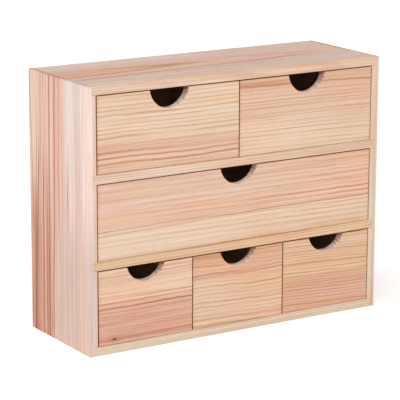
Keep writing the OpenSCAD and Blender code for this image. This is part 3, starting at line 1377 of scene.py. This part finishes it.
TOP_BOARD = PineFinish(
    bands=(
        (0.0, Tint.FAWN), (0.03, Tint.CREAM), (0.1, Tint.OAT), (0.24, Tint.BLUSH),
        (0.34, Tint.BLUSH), (0.5, Tint.SALMON), (0.68, Tint.SALMON), (0.78, Tint.OAT),
        (0.88, Tint.SHELL), (1.0, Tint.SHELL),
    ),
    far_bands=(
        (0.0, Tint.FAWN), (0.14, Tint.OAT), (0.4, Tint.HUSK), (0.5, Tint.BLUSH),
        (0.62, Tint.BLUSH), (0.72, Tint.OAT), (0.88, Tint.OAT), (1.0, Tint.HUSK),
    ),
    streaks=(
        Streak(0.36, 4.0, 0.75, end=0.93, lean=20.0), Streak(0.54, 3.6, 0.75, end=0.52, lean=34.0),
        Streak(0.54, 4.0, 0.60, start=0.08, end=0.56, lean=-34.0),
        Streak(0.56, 9.0, 0.45, start=0.22, end=0.54),
        Streak(0.67, 5.0, 0.45, start=0.5, end=0.96, lean=-38.0),
        Streak(0.50, 10.0, 0.45, start=0.7, end=0.97), Streak(0.27, 4.0, 0.22, end=0.8, lean=8.0),
        Streak(0.12, 2.0, 0.25),
    ),
    seed=3.0, ring=7.0, pith=(64.0, -8.0), late=0.3, taper=65.0, feather=6.0,
    streak_stain=(0.56, 0.34, 0.27),
)
BOTTOM_BOARD = PineFinish(
    bands=((0.0, Tint.FLAX), (1.0, Tint.CREAM)),
    seed=4.0, ring=2.6, late=0.6, pith=(-30.0, -60.0),
)
UPPER_SHELF = PineFinish(
    bands=((0.0, Tint.CREAM), (1.0, Tint.CREAM)),
    far_bands=((0.0, Tint.FAWN), (1.0, Tint.CREAM)),
    seed=5.0, ring=2.6, late=0.75, pith=(-20.0, -60.0),
)
LOWER_SHELF = PineFinish(
    bands=((0.0, Tint.HONEY), (0.4, Tint.STRAW), (1.0, Tint.STRAW)),
    seed=6.0, ring=2.8, late=0.6, late_rise=0.4, pith=(-20.0, 60.0),
)
BACK_PANEL = PlywoodFinish(face=Tint.FAWN, seed=1.0)
DIVIDER = PlywoodFinish(face=Tint.STRAW, seed=2.0)
DRAWER_FLOOR = PlywoodFinish(face=Tint.STRAW, seed=3.0)
WIRE_STEEL = SteelFinish()

# Painted shade that the edges of the fronts multiply the wood's colour by, darkening the seams
# between them: deep, or paler on the middle drawer
SEAM_SHADE_DEEP = (0.70, 0.55, 0.42)
SEAM_SHADE_PALE = (0.86, 0.76, 0.66)
FRONTS = {
    "top_left_drawer": PineFinish(
        bands=(
            (0.0, Tint.PEACH), (0.32, Tint.PEACH), (0.42, Tint.STRAW),
            (0.7, Tint.SAND), (0.8, Tint.STRAW), (0.92, Tint.SAND), (1.0, Tint.STRAW),
        ),
        streaks=(
            Streak(0.115, 1.6, 0.8), Streak(0.195, 1.5, 0.6), Streak(0.275, 1.4, 0.5),
            Streak(0.345, 1.3, 0.35), Streak(0.04, 1.2, 0.25),
        ),
        seed=11.0, ring=4.3, late=0.78, wander=1.8, sag=(1.8, 0.62), feather=1.2, seam_shade=SEAM_SHADE_DEEP,
    ),
    "top_right_drawer": PineFinish(
        bands=(
            (0.0, Tint.STRAW), (0.42, Tint.SAND), (0.58, Tint.FAWN),
            (0.8, Tint.PEACH), (0.88, Tint.SALMON), (0.93, Tint.AMBER), (1.0, Tint.SALMON),
        ),
        far_bands=(
            (0.0, Tint.STRAW), (0.4, Tint.FAWN), (0.54, Tint.PEACH),
            (0.8, Tint.SALMON), (0.9, Tint.SALMON), (1.0, Tint.ROSE),
        ),
        streaks=(
            Streak(0.52, 1.4, 0.3), Streak(0.62, 1.4, 0.3), Streak(0.7, 1.4, 0.25),
            Streak(0.9, 2.2, 0.6, lean=-3.0), Streak(0.93, 5.0, 0.25, end=0.35),
        ),
        seed=12.0, ring=3.7, late=0.7, wander=1.6, slope=-14.0, feather=3.0, seam_shade=SEAM_SHADE_DEEP,
    ),
    "middle_drawer": PineFinish(
        bands=(
            (0.0, Tint.FAWN), (0.12, Tint.SAND), (0.34, Tint.SAND), (0.39, Tint.FAWN),
            (0.55, Tint.PEACH), (0.68, Tint.BLUSH), (0.8, Tint.FAWN), (1.0, Tint.BLUSH),
        ),
        far_bands=(
            (0.0, Tint.HONEY), (0.12, Tint.FAWN), (0.34, Tint.STRAW), (0.40, Tint.PEACH),
            (0.6, Tint.PEACH), (0.8, Tint.PEACH), (1.0, Tint.SALMON),
        ),
        streaks=(
            Streak(0.375, 1.3, 0.85, start=0.3), Streak(0.34, 1.3, 0.5, end=0.4, lean=3.0),
            Streak(0.40, 1.3, 0.6, end=0.5, lean=4.0), Streak(0.45, 1.2, 0.5, start=0.4),
            Streak(0.52, 1.3, 0.45, start=0.45), Streak(0.62, 1.4, 0.3, start=0.4),
            Streak(0.78, 3.0, 0.12, end=0.4), Streak(0.9, 2.0, 0.2),
        ),
        seed=13.0, ring=4.7, late=0.1, late_rise=0.75, wander=2.6, taper=10.0, feather=2.0,
        seam_shade=SEAM_SHADE_PALE,
    ),
    # The bottom fronts take darker tints than the upper ones: partly their own wood, partly painted shade
    # for the light that falls off near the base
    "bottom_left_drawer": PineFinish(
        bands=(
            (0.0, Tint.ROSE), (0.07, Tint.CLAY), (0.14, Tint.ROSE), (0.4, Tint.ROSE),
            (0.56, Tint.PEACH), (0.66, Tint.STRAW), (1.0, Tint.FAWN),
        ),
        streaks=(
            Streak(0.07, 2.6, 0.15), Streak(0.43, 1.3, 0.5), Streak(0.486, 1.5, 0.95),
            Streak(0.56, 1.4, 0.45), Streak(0.71, 1.2, 0.25), Streak(0.9, 1.4, 0.3),
            Streak(0.24, 1.4, 0.3, start=0.5), Streak(0.17, 1.2, 0.3, end=0.6),
        ),
        seed=14.0, ring=3.2, late=0.45, wander=2.6, taper=10.0, feather=1.6, grit=0.7,
        knots=(Knot(17.0, 5.0, 1.1),), seam_shade=SEAM_SHADE_DEEP,
    ),
    "bottom_middle_drawer": PineFinish(
        bands=(
            (0.0, Tint.HONEY), (0.16, Tint.FAWN), (0.3, Tint.FAWN), (0.58, Tint.FAWN),
            (0.7, Tint.SALMON), (1.0, Tint.AMBER),
        ),
        far_bands=(
            (0.0, Tint.HONEY), (0.16, Tint.FAWN), (0.58, Tint.HONEY),
            (0.7, Tint.SALMON), (1.0, Tint.APRICOT),
        ),
        streaks=(
            Streak(0.03, 1.6, 0.3), Streak(0.12, 1.8, 0.35), Streak(0.7, 1.4, 0.5, lean=3.0),
            Streak(0.74, 1.4, 0.55, lean=3.0), Streak(0.83, 1.6, 0.6, end=0.4, lean=-3.0),
            Streak(0.97, 2.0, 0.5, end=0.6),
        ),
        seed=15.0, ring=4.0, late=0.75, wander=3.8, taper=8.0, sag=(2.2, 0.8), feather=2.0,
        seam_shade=SEAM_SHADE_DEEP,
    ),
    "bottom_right_drawer": PineFinish(
        bands=(
            (0.0, Tint.APRICOT), (0.1, Tint.APRICOT), (0.2, Tint.ROSE), (0.44, Tint.APRICOT),
            (0.54, Tint.HONEY), (0.8, Tint.HONEY), (0.94, Tint.FAWN), (1.0, Tint.HONEY),
        ),
        streaks=(
            Streak(0.1, 1.5, 0.5), Streak(0.3, 1.2, 0.3), Streak(0.66, 1.3, 0.5),
            Streak(0.83, 1.4, 0.35), Streak(0.91, 1.4, 0.35, end=0.6),
        ),
        seed=16.0, ring=2.9, late=0.85, wander=1.6, slope=-42.0, feather=2.0, seam_shade=SEAM_SHADE_DEEP,
    ),
}


@dataclass
class Carcase:
    """The case around the drawers: two sides, four level boards, the dividers and the back."""

    body: str = "carcase"
    sides: tuple[str, ...] = ("left_side", "right_side")
    levels: tuple[str, ...] = ("top_board", "bottom_board", "upper_shelf", "lower_shelf")
    dividers: tuple[str, ...] = ("upper_divider", "lower_left_divider", "lower_right_divider")
    back: str = "back_panel"
    brads: str = "back_panel_brads"
    easing: float = 0.45 * MM
    ply_easing: float = 0.15 * MM

    FINISHES = {
        "left_side": LEFT_SIDE,
        "right_side": RIGHT_SIDE,
        "top_board": TOP_BOARD,
        "bottom_board": BOTTOM_BOARD,
        "upper_shelf": UPPER_SHELF,
        "lower_shelf": LOWER_SHELF,
        "back_panel": BACK_PANEL,
    }

    def build(self) -> None:
        """Makes every part of the case."""
        brads = Brad.all_of(self.brads)
        panels = (*self.dividers, self.back)
        blocks = {node: Block.of(node) for node in (*self.sides, *self.levels, *panels)}
        for node in blocks:
            joined = [block for name, block in blocks.items() if name != node]
            finish = self.FINISHES.get(node, DIVIDER)
            if node in panels:
                Board(node, self.body, self.ply_easing, joined, brads).make(finish, Slot.PLYWOOD)
                continue
            seated = self.levels if node in self.sides else self.dividers
            seats = tuple(blocks[name] for name in (*seated, self.back))
            Board(node, self.body, self.easing, joined, brads, seats).make(finish, Slot.CARCASE)
        drive(brads, self.brads, self.body)


@dataclass
class Drawer:
    """One drawer: a front, two walls, a rear wall, a floor and the brads at its corners."""

    name: str
    number: int
    easing: float = 0.35 * MM
    wall_easing: float = 0.4 * MM
    ply_easing: float = 0.15 * MM
    floor_play: float = 0.2 * MM

    PARTS = ("front", "left_wall", "right_wall", "rear_wall", "floor")

    def node(self, part: str) -> str:
        """The name of one of the drawer's nodes."""
        return f"{self.name}_{part}"

    def block(self, part: str) -> Block:
        """The block that one of the drawer's parts fills."""
        return Block.of(self.node(part))

    def board(self, part: str, easing: float, brads: list[Brad], *seats: Block) -> Board:
        """One of the drawer's boards, joined to the others."""
        joined = [self.block(other) for other in self.PARTS if other != part]
        return Board(self.node(part), self.name, easing, joined, brads, seats)

    def build(self) -> None:
        """Makes every part of the drawer."""
        brads = Brad.all_of(self.node("brads"))
        floor = self.block("floor")
        groove = floor.grown(self.floor_play).moved(Axis.Z, low=floor.low.z)
        self._front(brads, groove)
        for place, part in enumerate(("left_wall", "right_wall")):
            wall = self.block(part)
            board = self.board(part, self.wall_easing, brads, groove.moved(Axis.Y, wall.low.y, wall.high.y))
            board.make(self._wall_finish(PLAIN, 30.0 + self.number * 3 + place), Slot.BOX)
        finish = self._wall_finish(PINK_CORE, 60.0 + self.number)
        self.board("rear_wall", self.wall_easing, brads).make(finish, Slot.BOX)
        self.board("floor", self.ply_easing, []).make(DRAWER_FLOOR, Slot.PLYWOOD)
        drive(brads, self.node("brads"), self.name)

    def _front(self, brads: list[Brad], groove: Block) -> None:
        """Makes the front, rebated for the walls, grooved for the floor and notched for a finger.

        Args:
            brads: The drawer's brads.
            groove: The groove for the floor.
        """
        front = self.block("front")
        left, right = (
            self.block(part).moved(Axis.Z, front.low.z, front.high.z)
            for part in ("left_wall", "right_wall")
        )
        seats = (left.moved(Axis.X, low=front.low.x), right.moved(Axis.X, high=front.high.x), groove)
        board = self.board("front", self.easing, brads, *seats)
        board.notch = Notch.of(board.node)
        board.make(FRONTS[self.name], Slot.FRONT)

    @staticmethod
    def _wall_finish(bands: Bands, seed: float) -> PineFinish:
        """The plain pine of a wall."""
        return PineFinish(bands=bands, seed=seed, ring=5.0, late=0.35)


def drive(brads: list[Brad], node: str, body: str) -> None:
    """Makes a group of brads, in place of its node, on the body that they are driven into."""
    dress(turned(node + "_nails", brads, Brad.nail), node, WIRE_STEEL, body)


@dataclass
class Studio:
    """The pale floor, the soft lights and the camera.

    Attributes:
        azimuth: The camera's place round the chest, in degrees from straight in front.
        elevation: Its height, in degrees above the chest.
        distance: Its distance from what it is aimed at, in metres.
        aim: What it is aimed at, from the middle of the chest.
        roll: How far it leans, in degrees.
        lens: Its focal length, in millimetres.
        floor_size: The width of the floor, in metres.
        key_azimuth: The key light's place round the chest, in degrees.
        key_elevation: The key light's height, in degrees.
        key_spread: How large the key light looks, in degrees.
        key_power: The key light's strength.
        walls: How bright the room is at the horizon.
        ceiling: How bright it is overhead.
        floor_glow: How far the floor shines by itself.
    """

    azimuth: float = -32.09
    elevation: float = 13.56
    distance: float = 2.0462
    aim: tuple[float, float, float] = (-6.9 * MM, 1.6 * MM, -9.1 * MM)
    roll: float = 0.17
    lens: float = 181.06
    floor_size: float = 16.0
    key_azimuth: float = -48.0
    key_elevation: float = 52.0
    key_spread: float = 70.0
    key_power: float = 1.75
    walls: float = 0.96
    ceiling: float = 0.5
    floor_glow: float = 0.22

    # The floor's lightness at its dullest and its palest, and its clouds in a metre
    PAPER = (0.93, 0.95)
    CLOUDS = 3.0
    # How high the room's light goes from the walls' to the ceiling's, from 0 to 1
    COVE = 0.7

    def build(self) -> None:
        """Sets everything up around the chest."""
        self._camera()
        self._floor()
        self._key_light()
        self._room()
        bpy.context.scene.view_settings.view_transform = "Standard"

    @staticmethod
    def _towards(azimuth: float, elevation: float) -> Vector:
        """The direction of a place round the chest, given in degrees."""
        turn, rise = math.radians(azimuth), math.radians(elevation)
        return Vector((math.sin(turn) * math.cos(rise), -math.cos(turn) * math.cos(rise), math.sin(rise)))

    def _camera(self) -> None:
        """Puts the camera in front of the chest, to its left and a little above it."""
        target = (CAD_BOX[0] + CAD_BOX[1]) / 2 + Vector(self.aim)
        back = self._towards(self.azimuth, self.elevation)
        data = bpy.data.cameras.new("camera")
        data.lens = self.lens
        camera = bpy.data.objects.new("camera", data)
        camera.location = target + back * self.distance
        look = (-back).to_track_quat("-Z", "Y").to_matrix().to_4x4()
        roll = Matrix.Rotation(math.radians(self.roll), 4, "Z")
        camera.rotation_euler = (look @ roll).to_euler()
        bpy.context.scene.collection.objects.link(camera)
        bpy.context.scene.camera = camera

    def _floor(self) -> None:
        """Lays the floor that the chest stands on."""
        bm = bmesh.new()
        bmesh.ops.create_grid(bm, x_segments=1, y_segments=1, size=self.floor_size / 2)
        floor = piece_from(bm, "studio_floor")
        material = bpy.data.materials.new("studio_paper")
        material.use_nodes = True
        shader = material.node_tree.nodes["Principled BSDF"]
        sheet = NodeSheet(material.node_tree)
        x, y, z = sheet.parts(sheet.add("TexCoord", {}, "Object"))
        clouds = sheet.noise(x * self.CLOUDS, y * self.CLOUDS, z, 2.0)
        dull, pale = ((lightness,) * 3 for lightness in self.PAPER)
        sheet.feed(shader.inputs["Base Color"], sheet.mix(clouds, dull, pale))
        shader.inputs["Roughness"].default_value = 0.9
        shader.inputs["Specular IOR Level"].default_value = 0.0
        shader.inputs["Emission Color"].default_value = (1.0, 1.0, 1.0, 1.0)
        shader.inputs["Emission Strength"].default_value = self.floor_glow
        floor.data.materials.append(material)

    def _key_light(self) -> None:
        """Hangs a large light at the front left."""
        data = bpy.data.lights.new("key", "SUN")
        data.energy = self.key_power
        data.angle = math.radians(self.key_spread)
        key = bpy.data.objects.new("key", data)
        towards = self._towards(self.key_azimuth, self.key_elevation)
        key.rotation_euler = towards.to_track_quat("Z", "Y").to_euler()
        bpy.context.scene.collection.objects.link(key)

    def _room(self) -> None:
        """Lets the room light the rest, brighter at the horizon than overhead."""
        world = bpy.data.worlds.new("room")
        world.use_nodes = True
        sheet = NodeSheet(world.node_tree)
        height = sheet.parts(sheet.add("TexCoord", {}, "Generated"))[2]
        colour = sheet.mix(height.between(0.0, self.COVE), (self.walls,) * 3, (self.ceiling,) * 3)
        sheet.feed(world.node_tree.nodes["Background"].inputs["Color"], colour)
        bpy.context.scene.world = world


def main() -> None:
    """Builds the studio and the chest, part by part."""
    logging.basicConfig(level=logging.INFO, format="%(name)s: %(message)s")
    Studio().build()
    Carcase().build()
    for number, name in enumerate(FRONTS):
        Drawer(name, number).build()


if __name__ == "__main__":
    main()
